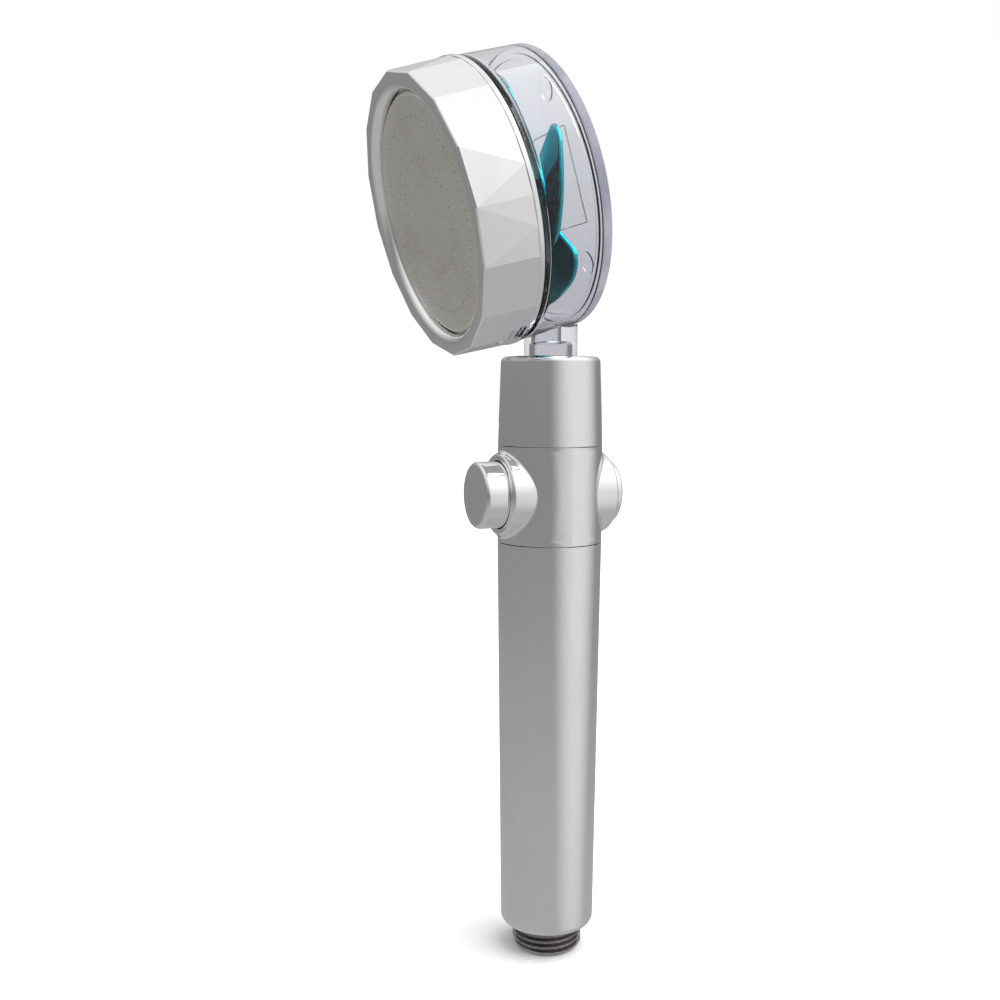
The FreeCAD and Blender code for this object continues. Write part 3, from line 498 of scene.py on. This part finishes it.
def valve_half(points, faces, side, ring):
    """One side (front -1, back +1) of the valve's shell, with its boss, counterbore and cross bore.

    The wall is laid out as a flat sheet, u round the handle and z up it, and each line of the mesh
    runs from the sheet's edge to the boss.  It gives back the rows of the sheet's edge and the bore.
    """
    radius, boss, fillet = GRIP, 12.2, 1.1
    low, high = SHELL_LOW + 0.04, SHELL_HIGH - 0.04
    half_z = (high - low) / 2
    middle_z = (high + low) / 2 - VALVE_HEIGHT
    half_u = radius * math.pi / 2
    edge = []
    quarter = ring // 4
    for i in range(quarter):
        edge.append((half_u, -half_z + 2 * half_z * i / quarter))
    for i in range(quarter):
        edge.append((half_u - 2 * half_u * i / quarter, half_z))
    for i in range(quarter):
        edge.append((-half_u, half_z - 2 * half_z * i / quarter))
    for i in range(quarter):
        edge.append((-half_u + 2 * half_u * i / quarter, -half_z))

    def on_wall(u, z):
        angle = u / radius
        return (radius * math.sin(angle), side * radius * math.cos(angle), z)

    fillet_steps = 6
    contact, arcs, turns = [], [], []
    for u, z in edge:
        z = z + middle_z
        turn = math.atan2(z, u * half_z / half_u)
        reach = boss + fillet
        cx, cz = reach * math.cos(turn), reach * math.sin(turn)
        cy = math.sqrt((radius + fillet) ** 2 - cx * cx)
        touch = (cx * radius / (radius + fillet), cy * radius / (radius + fillet), cz)
        ku = radius * math.atan2(touch[0], touch[1])
        line = []
        for step in range(9):
            share = 0.01 if step == 1 else 1 - (1 - step / 8) ** 1.4
            line.append(on_wall(u + (ku - u) * share, z + (touch[2] - z) * share))
        contact.append(line)
        start = Vector((touch[0] - cx, touch[1] - cy, 0)).normalized()
        end = Vector((-math.cos(turn), 0, -math.sin(turn)))
        arc = []
        whole = start.angle(end)
        for step in range(1, fillet_steps + 1):
            angle = whole * step / fillet_steps
            across = (end - start * math.cos(whole)).normalized()
            direction = start * math.cos(angle) + across * math.sin(angle)
            spot = Vector((cx, cy, cz)) + direction * fillet
            arc.append((spot.x, side * spot.y, spot.z))
        arcs.append(arc)
        turns.append(turn)
    lines = []
    face, soft, counterbore, floor, bore = 17.0, 1.0, 10.05, 11.3, 6.3
    for line, arc, turn in zip(contact, arcs, turns):
        cos, sin = math.cos(turn), math.sin(turn)
        rest = []
        for step in range(7):
            angle = math.pi / 2 * step / 6
            r = boss - soft + soft * math.cos(angle)
            rest.append((r * cos, side * (face - soft + soft * math.sin(angle)), r * sin))
        inner_soft = 0.25
        for step in range(5):
            angle = math.pi / 2 * step / 4
            r = counterbore + inner_soft - inner_soft * math.sin(angle)
            rest.append((r * cos, side * (face - inner_soft + inner_soft * math.cos(angle)), r * sin))
        rest.append((counterbore * cos, side * floor, counterbore * sin))
        rest.append((bore * cos, side * floor, bore * sin))
        lines.append(line + arc + rest)
    first = len(points)
    length = len(lines[0])
    for line in lines:
        points.extend([(x, y, z + VALVE_HEIGHT) for x, y, z in line])
    count = len(lines)
    for i in range(count):
        j = (i + 1) % count
        for k in range(length - 1):
            a, b = first + i * length + k, first + j * length + k
            faces.append([a, b, b + 1, a + 1])
    edge_row = [first + i * length for i in range(count)]
    bore_row = [first + i * length + length - 1 for i in range(count)]
    return edge_row, bore_row


def valve_body():
    """The middle of the handle: the shell with both bosses, joined through the cross bore."""
    ring = 192
    quarter = ring // 4
    points, faces = [], []
    front_edge, front_bore = valve_half(points, faces, -1, ring)
    back_edge, back_bore = valve_half(points, faces, 1, ring)
    for i in range(ring):
        j = (i + 1) % ring
        faces.append([front_bore[i], front_bore[j], back_bore[j], back_bore[i]])

    # The sheet's bottom and top edges are half circles; each pair closes into one row round the handle.
    def full_row(name):
        first = 3 * quarter if name == "low" else quarter
        front = [front_edge[(first + i) % ring] for i in range(quarter + 1)]
        back = [back_edge[(first + i) % ring] for i in range(quarter + 1)]
        return front + back[::-1][1:-1]

    for name, corners in (("low", low_outline()), ("high", high_outline())):
        row = full_row(name)
        for radius, depth in corners:
            fresh = []
            for index in row:
                x, y, _ = points[index]
                scale = radius / math.hypot(x, y) if radius else 0
                fresh.append(len(points))
                points.append((x * scale, y * scale, depth))
            for i in range(len(row)):
                j = (i + 1) % len(row)
                faces.append([row[i], row[j], fresh[j], fresh[i]])
            row = fresh
        faces.append(row)
    piece = make_mesh("valve_shell", points, faces, UPRIGHT, "handle", CHROME)
    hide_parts("valve_body")


def low_outline():
    """From the shell's lower edge down the spigot and up its bore."""
    low = SHELL_LOW
    return [(GRIP - 0.012, low + 0.012), (GRIP - 0.04, low), (11.9, low), (11.9, VALVE_SPIGOT_LOW + 0.2),
            (11.7, VALVE_SPIGOT_LOW), (8.0, VALVE_SPIGOT_LOW), (8.0, low + 2)]


def high_outline():
    """From the shell's upper edge up the neck spigot and down the stem's socket."""
    high = SHELL_HIGH
    return [(GRIP - 0.012, high - 0.012), (GRIP - 0.04, high), (11.4, high), (11.4, VALVE_SPIGOT_HIGH - 0.2),
            (11.2, VALVE_SPIGOT_HIGH), (7.9, VALVE_SPIGOT_HIGH), (7.9, STEM_LOW - 0.3)]


def buttons():
    """The two ends of the stop bolt: cups with a soft edge and a barely dished face."""
    radius, length = 9.78, 8.11
    for name, node, place in (
            ("stop_button_front", "front_button", axis_frame((0, FRONT_BUTTON_Y, VALVE_HEIGHT), (0, 1, 0))),
            ("stop_button_rear", "rear_button", axis_frame((0, REAR_BUTTON_Y, VALVE_HEIGHT), (0, -1, 0)))):
        piece = turned(name, [
            (0, 0.12), (4.5, 0.09), (7.6, 0.02), (radius, 0, 1.25), (radius, length, 0.2), (radius - 1.6, length),
            (radius - 1.6, 2.2), (3.6, 2.2), (3.6, length), (2.0, length), (2.0, 2.4), (0, 2.4)],
            place, "stop_valve", CHROME)
        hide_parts(node)


def swivel_collar():
    piece = turned("neck_collar", [
        (11.5, COLLAR_LOW + 0.08), (GRIP, COLLAR_LOW + 0.08, 0.04), (14.6, COLLAR_HIGH, 1.6), (8.1, COLLAR_HIGH, 0.3),
        (8.1, COLLAR_HIGH - 1.15), (10.05, COLLAR_HIGH - 1.15), (10.05, COLLAR_HIGH - 12.15),
        (11.5, COLLAR_HIGH - 12.15)],
        UPRIGHT, "handle", CHROME)
    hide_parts("swivel_collar")


# ---------------------------------------------------------------- head

def polygon(radius, depth, count, phase):
    spots = []
    for i in range(count):
        angle = phase + 2 * math.pi * i / count
        spots.append((radius * math.cos(angle), radius * math.sin(angle), depth))
    return spots


def face_ring():
    """The faceted ring.  Flat mirror facets with softened ridges, a quarter-round lip and a round rim."""
    sides = 16
    phase = -math.radians(85.16)
    front, nodes_radius, nodes_depth = 39.2, 39.96, 15.66
    rim, rim_low, back, bevel = 40.09, 15.5, span("face_ring", HEAD)[1], 0.35
    inner = polygon(front - bevel, 0.0, sides, phase)
    outer = polygon(front, bevel, sides, phase)
    nodes = polygon(nodes_radius, nodes_depth, 2 * sides, phase)
    points = inner + outer + nodes
    faces = []
    for i in range(sides):
        j = (i + 1) % sides
        at = 2 * sides + 2 * i
        before = 2 * sides + (2 * i - 1) % (2 * sides)
        after = at + 1
        faces.append([i, j, sides + j, sides + i])
        faces.append([sides + i, sides + j, after])
        faces.append([sides + i, before, at])
        faces.append([sides + i, at, after])
    # lip, hole wall, ledge, thread bore and the round rim, from the front inwards and back out
    lip, hole, ledge, bore = 36.0, 33.5, 4.0, 36.2
    section = [(lip, 0.0)]
    for step in range(1, 9):
        angle = math.pi / 2 * step / 8
        section.append((lip - (lip - hole) * math.sin(angle), (lip - hole) * (1 - math.cos(angle))))
    section += [(hole, ledge), (bore, ledge), (bore, back), (rim - 0.25, back), (rim, back - 0.25),
                (rim, rim_low + 0.2), (rim - 0.12, rim_low)]
    steps = 192
    start = len(points)
    for radius, depth in section:
        points += polygon(radius, depth, steps, phase)
    rows = [start + k * steps for k in range(len(section))]
    for a, b in zip(rows, rows[1:]):
        for i in range(steps):
            j = (i + 1) % steps
            faces.append([a + i, a + j, b + j, b + i])
    bridge(faces, list(range(sides)), [rows[0] + i for i in range(steps)])
    bridge(faces, [2 * sides + i for i in range(2 * sides)], [rows[-1] + i for i in range(steps)])
    piece = make_mesh("faceted_ring", points, faces, HEAD, "head", CHROME)
    soften = piece.modifiers.new("soft_ridges", "BEVEL")
    soften.width = 0.10 * MM
    soften.segments = 2
    soften.limit_method = "ANGLE"
    soften.angle_limit = math.radians(4)
    soften.use_clamp_overlap = True
    settle(piece)
    smooth_with_corners(piece.data, math.radians(50))
    weigh = piece.modifiers.new("weigh_normals", "WEIGHTED_NORMAL")
    weigh.keep_sharp = True
    settle(piece)
    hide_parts("face_ring")


def settle(piece):
    """Applies the piece's modifiers."""
    graph = bpy.context.evaluated_depsgraph_get()
    mesh = bpy.data.meshes.new_from_object(piece.evaluated_get(graph))
    piece.modifiers.clear()
    old = piece.data
    piece.data = mesh
    bpy.data.meshes.remove(old)


def bridge(faces, few, many):
    """Fan faces between a coarse loop and a finer one whose count is a multiple of it."""
    ratio = len(many) // len(few)
    for i, corner in enumerate(few):
        following = few[(i + 1) % len(few)]
        part = [many[(i * ratio + k) % len(many)] for k in range(ratio + 1)]
        faces.append([corner, following] + part[::-1])


def spray_plate():
    """The raised satin plate with two rings of fine holes."""
    front, back, _ = span("spray_plate", HEAD)
    flange, hole = 4.1, 0.22
    piece = turned("spray_disc", [
        (0, front), (24, front), (33.2, front, 1.4), (33.2, flange), (35.4, flange), (35.4, back), (0, back)],
        HEAD, "head", SATIN)
    drills = []
    for ring_radius, count in ((15.8, 34), (26.7, 66)):
        for i in range(count):
            angle = 2 * math.pi * i / count
            centre = (ring_radius * math.cos(angle), ring_radius * math.sin(angle))
            drills.append(centre)
    points, faces = [], []
    for x, y in drills:
        hole_outline = [(0, front - 1), (hole, front - 1), (hole, back + 1), (0, back + 1)]
        drill_points, drill_faces = turn_outline(hole_outline, 12)
        shift = len(points)
        points += [(px + x, py + y, pz) for px, py, pz in drill_points]
        faces += [[index + shift for index in face] for face in drill_faces]
    carve(piece, [tool_mesh(points, faces, HEAD)])
    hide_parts("spray_plate")


def shaded_edge_faces(piece, chosen):
    """Gives the satin edge, with its painted grey shade, to the faces picked by their middle's radius and depth and
    their lean.
    """
    piece.data.materials.append(EDGE)
    back_to_head = HEAD.inverted()
    for face in piece.data.polygons:
        spot = back_to_head @ (face.center / MM)
        lean = (back_to_head.to_3x3() @ face.normal).z
        if chosen(math.hypot(spot.x, spot.y), spot.z, lean):
            face.material_index = 1


def chamber():
    """The clear chamber and its stem, as one moulding."""
    radius, bore, neck, neck_bore = 39.65, 38.7, 36.1, 34.2
    front, shoulder = 6.5, 17.3
    back = span("back_cover", HEAD)[1] - 2.65
    piece = turned("chamber_shell", [
        (neck_bore, front, 0.2), (neck, front, 0.3), (neck, shoulder, 0.2), (radius, shoulder, 0.35),
        (radius, back, 0.2), (bore, back, 0.2), (bore, shoulder + 2, 1.0), (neck_bore, shoulder + 2, 0.6)],
        HEAD, "head", CLEAR, steps=256)
    stem, stem_bore = 7.8, 4.8
    stem_top, roof = COLLAR_HIGH + 11.5, COLLAR_HIGH + 4.5
    slot_low, slot_high = VALVE_SPIGOT_HIGH + 0.25, VALVE_SPIGOT_HIGH + 2.25
    outline = [(0, stem_top), (stem, stem_top), (stem, slot_high), (stem - 1.2, slot_high), (stem - 1.2, slot_low),
               (stem, slot_low)]
    for height in (7.0, 3.0):
        outline += [(stem, STEM_LOW + height + 1.05), (stem - 1.72, STEM_LOW + height + 1.05),
                    (stem - 1.72, STEM_LOW + height - 1.05), (stem, STEM_LOW + height - 1.05)]
    outline += [(stem, STEM_LOW, 0.3), (stem_bore, STEM_LOW, 0.2), (stem_bore, roof, 1.2), (0, roof)]
    points, faces = turn_outline(rounded(outline), 128)
    carve(piece, [tool_mesh(points, faces, UPRIGHT)], "UNION")
    cavity, cavity_faces = turn_outline(rounded([
        (0, shoulder + 2.02), (bore - 0.01, shoulder + 2.02, 1.0), (bore - 0.01, back - 0.3),
        (radius + 0.25, back), (radius + 0.25, back + 16), (0, back + 16)]), 256)
    carve(piece, [tool_mesh(cavity, cavity_faces, HEAD)])
    port_place = axis_frame((0, -1.2, 0), (0, 0, 1))
    port, port_faces = turn_outline([(0, roof - 1), (3.4, roof - 1), (3.4, roof + 12), (0, roof + 12)], 96)
    carve(piece, [tool_mesh(port, port_faces, port_place)])
    # The back rim faces get the satin edge, painted a grey shade.
    shaded_edge_faces(piece, lambda radius, depth, lean: 38.6 < radius < 39.7 and depth > back - 0.25)
    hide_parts("clear_chamber")


def back_cover():
    """The clear closing disc, with its locating lip, four round pads and a thin rectangle on its inner face."""
    front, back = span("back_cover", HEAD)[1] - 2.62, span("back_cover", HEAD)[1]
    lip_outer, lip_inner = 37.35, 35.85
    piece = turned("cover_disc", [
        (0, back), (39.64, back, 0.55), (39.64, front, 0.15), (lip_outer, front), (lip_outer, front - 0.6, 0.2),
        (lip_inner, front - 0.6, 0.2), (lip_inner, front), (3.9, front, 0.4), (3.9, front - 2.8, 0.2), (1.52, front - 2.8),
        (1.52, front - 0.3), (0, front - 0.3)],
        HEAD, "head", CLEAR, steps=256)
    reach = 32.5 * math.sqrt(0.5)
    tools = []
    for x in (-reach, reach):
        for y in (-reach, reach):
            pad, pad_faces = turn_outline(rounded([
                (0, front - 0.35), (3.0, front - 0.35, 0.15), (3.0, front + 0.3), (0, front + 0.3)]), 64)
            tools.append(tool_mesh([(px + x, py + y, pz) for px, py, pz in pad], pad_faces, HEAD))
    carve(piece, tools, "UNION")
    wide, high, line = 28.0, 12.8, 0.18
    loops = []
    for half_x, half_y in ((wide, high), (wide - line, high - line)):
        for depth in (front - 0.25, front + 0.1):
            loops.append([(-half_x, -half_y, depth), (half_x, -half_y, depth), (half_x, half_y, depth),
                          (-half_x, half_y, depth)])
    outer_low, outer_high, inner_low, inner_high = range(0, 16, 4)
    groove_faces = []
    for a, b in ((outer_low, outer_high), (outer_high, inner_high), (inner_high, inner_low), (inner_low, outer_low)):
        for i in range(4):
            j = (i + 1) % 4
            groove_faces.append([a + i, a + j, b + j, b + i])
    carve(piece, [tool_mesh([spot for loop in loops for spot in loop], groove_faces, HEAD)])
    # The outer edge faces get the satin edge, painted a grey shade.
    shaded_edge_faces(piece, lambda radius, depth, lean: radius > 39.0 and abs(lean) < 0.9
                or radius > 38.6 and abs(depth - front) < 0.2)
    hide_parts("back_cover")


def blade(turn):
    """One wide twisted petal: a helical sheet with round outer corners and rounded edges."""
    root, tip, corner, half = 5.4, 33.0, 7.0, 0.65
    first, last, middle, climb = math.radians(-30), math.radians(37), 28.9, -8.6
    border = [0.0, 0.08, 0.22, 0.42, half]
    side = [offset / 25 for offset in border]
    inner = 44
    angles = [first + offset for offset in side]
    for k in range(1, inner):
        share = 0.5 - 0.5 * math.cos(math.pi * k / inner)
        angles.append(first + side[-1] + (last - first - 2 * side[-1]) * share)
    angles += [last - offset for offset in side[::-1]]
    rings = 26
    top, under = [], []
    for angle in angles:
        inset = min(angle - first, last - angle)
        gap = corner - min(corner, inset * (tip - corner))
        reach = tip - corner + math.sqrt(corner * corner - gap * gap)
        radii = [root + (reach - half - root) * k / rings for k in range(rings)]
        radii += [reach - offset for offset in border[::-1]]
        for radius in radii:
            near = min(reach - radius, inset * 25, half)
            rise = math.sqrt(max(0.0, half * half - (half - near) ** 2))
            crown = 0.5 * math.sin(math.pi * (angle - first) / (last - first))
            depth = middle + climb * angle - crown
            cos, sin = math.cos(angle + turn), math.sin(angle + turn)
            top.append((radius * cos, radius * sin, depth - rise))
            under.append((radius * cos, radius * sin, depth + rise))
    width, count = rings + len(border), len(angles)
    points = top + under
    shift = len(top)
    faces = []
    for a in range(count - 1):
        for k in range(width - 1):
            face = [a * width + k, a * width + k + 1, (a + 1) * width + k + 1, (a + 1) * width + k]
            faces.append(face)
            faces.append([index + shift for index in face[::-1]])
        faces.append([a * width, (a + 1) * width, (a + 1) * width + shift, a * width + shift])
    return points, faces


def turbine():
    front, back, blades = 21.5, 31.2, 5
    hub, hub_faces = turn_outline(rounded([
        (1.55, front), (6.0, front, 2.2), (6.0, back, 0.8), (1.55, back)]), 96)
    piece = make_mesh("turbine_rotor", hub, hub_faces, HEAD, "fan", TEAL)
    for i in range(blades):
        points, faces = blade(2 * math.pi * i / blades)
        carve(piece, [tool_mesh(points, faces, HEAD)], "UNION")
    smooth_with_corners(piece.data, math.radians(60))
    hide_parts("turbine_fan")


def finish_cad_nodes():
    """Procedural finishes for the CAD nodes that stay."""
    finishes = {
        "inlet_strainer": STAINLESS, "stem_clip": STAINLESS, "fan_axle": STAINLESS, "filter_core": COTTON,
        "filter_lower_cap": WHITE, "filter_upper_cap": WHITE, "fan_support": BLACK, "valve_spool": NATURAL,
        "swivel_bush": NATURAL, "thrust_washer": NATURAL, "fan_washers": NATURAL, "plate_gasket": SILICONE,
        "nipple_seal": RUBBER, "filter_seal": RUBBER, "tube_seal": RUBBER, "spool_seals": RUBBER,
        "stem_seals": RUBBER,
    }
    for name, material in finishes.items():
        mesh = NODES[name].data
        mesh.materials.clear()
        mesh.materials.append(material)


# ---------------------------------------------------------------- stage

def camera():
    """The photographed view: a little above the middle of the handle, from the front right."""
    azimuth, elevation, roll = math.radians(67.05), math.radians(5.5), math.radians(0.19)
    distance, target_height, shift_right, shift_up = 0.32416, 0.140, -0.01479, -0.00305
    field = 1.08769
    back = Vector((math.sin(azimuth) * math.cos(elevation), -math.cos(azimuth) * math.cos(elevation),
                   math.sin(elevation)))
    right = Vector((math.cos(azimuth), math.sin(azimuth), 0))
    up = back.cross(right)
    turned_right = right * math.cos(roll) + up * math.sin(roll)
    turned_up = up * math.cos(roll) - right * math.sin(roll)
    data = bpy.data.cameras.new("view")
    data.sensor_width = 36.0
    data.lens = field * data.sensor_width
    data.clip_start, data.clip_end = 0.01, 20
    item = bpy.data.objects.new("view", data)
    matrix = Matrix((turned_right, turned_up, back)).transposed().to_4x4()
    matrix.translation = (Vector((0, 0, target_height)) + back * distance
                          + turned_right * shift_right + turned_up * shift_up)
    item.matrix_world = matrix
    bpy.context.scene.collection.objects.link(item)
    bpy.context.scene.camera = item


def floor():
    """A plain pale floor under the hose thread.  The chrome sees the studio below it instead."""
    half = 6.0
    mesh = bpy.data.meshes.new("floor")
    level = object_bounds()[0].z - 0.0005
    mesh.from_pydata([(-half, -half, level), (half, -half, level), (half, half, level), (-half, half, level)], [],
                     [[0, 1, 2, 3]])
    item = bpy.data.objects.new("floor", mesh)
    bpy.context.scene.collection.objects.link(item)
    mesh.materials.append(moulded("pale_floor", (0.93, 0.93, 0.93), 0.9, 0.0, 0.01))
    item.visible_glossy = False
    item.visible_transmission = False
    item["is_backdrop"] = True


def sun():
    """One broad soft light from above, which whitens the floor without a hard highlight."""
    data = bpy.data.lights.new("overhead", "SUN")
    data.energy = 2.6
    data.angle = math.radians(60)
    item = bpy.data.objects.new("overhead", data)
    item.rotation_euler = (math.radians(-18), math.radians(14), 0)
    item.visible_glossy = False
    bpy.context.scene.collection.objects.link(item)


def studio():
    """Plain soft studio light: pale below, mid grey round the sides, bright above, and one broad soft
    light to the side.  Seen directly, or through the clear plastic, it is a white backdrop."""
    world = bpy.data.worlds.new("studio")
    world.use_nodes = True
    bpy.context.scene.world = world
    graph = Graph(world.node_tree)
    sky = world.node_tree.nodes["Background"]
    split = graph.node("ShaderNodeSeparateXYZ")
    graph.link(graph.node("ShaderNodeTexCoord").outputs["Generated"], split.inputs[0])
    x, y, z = split.outputs
    below = graph.remap(z, -0.6, 0.0, 0.45, 0.25)
    above = graph.remap(z, 0.0, 0.95, 0.0, 0.70)
    toward_light = graph.math("ADD", graph.math("MULTIPLY", x, 0.7), graph.math("MULTIPLY", y, 0.6))
    toward_light = graph.math("ADD", toward_light, graph.math("MULTIPLY", z, 0.4))
    soft_light = graph.remap(toward_light, 0.35, 1.0, 0.0, 0.55)
    level = graph.math("ADD", graph.math("ADD", below, above), soft_light)

    paths = graph.node("ShaderNodeLightPath")
    bounced = graph.math("ADD", paths.outputs["Glossy Depth"], paths.outputs["Diffuse Depth"])
    seen = graph.math("SUBTRACT", 1.0, bounced, clamp=True)
    graph.link(graph.mix(seen, level, (1.0, 1.0, 1.0, 1)), sky.inputs["Color"])
    sky.inputs["Strength"].default_value = 1.0
    bpy.context.scene.view_settings.view_transform = "Standard"


handle_tube()
hose_nipple()
valve_body()
buttons()
swivel_collar()
face_ring()
spray_plate()
chamber()
back_cover()
turbine()
finish_cad_nodes()
camera()
studio()
sun()
floor()
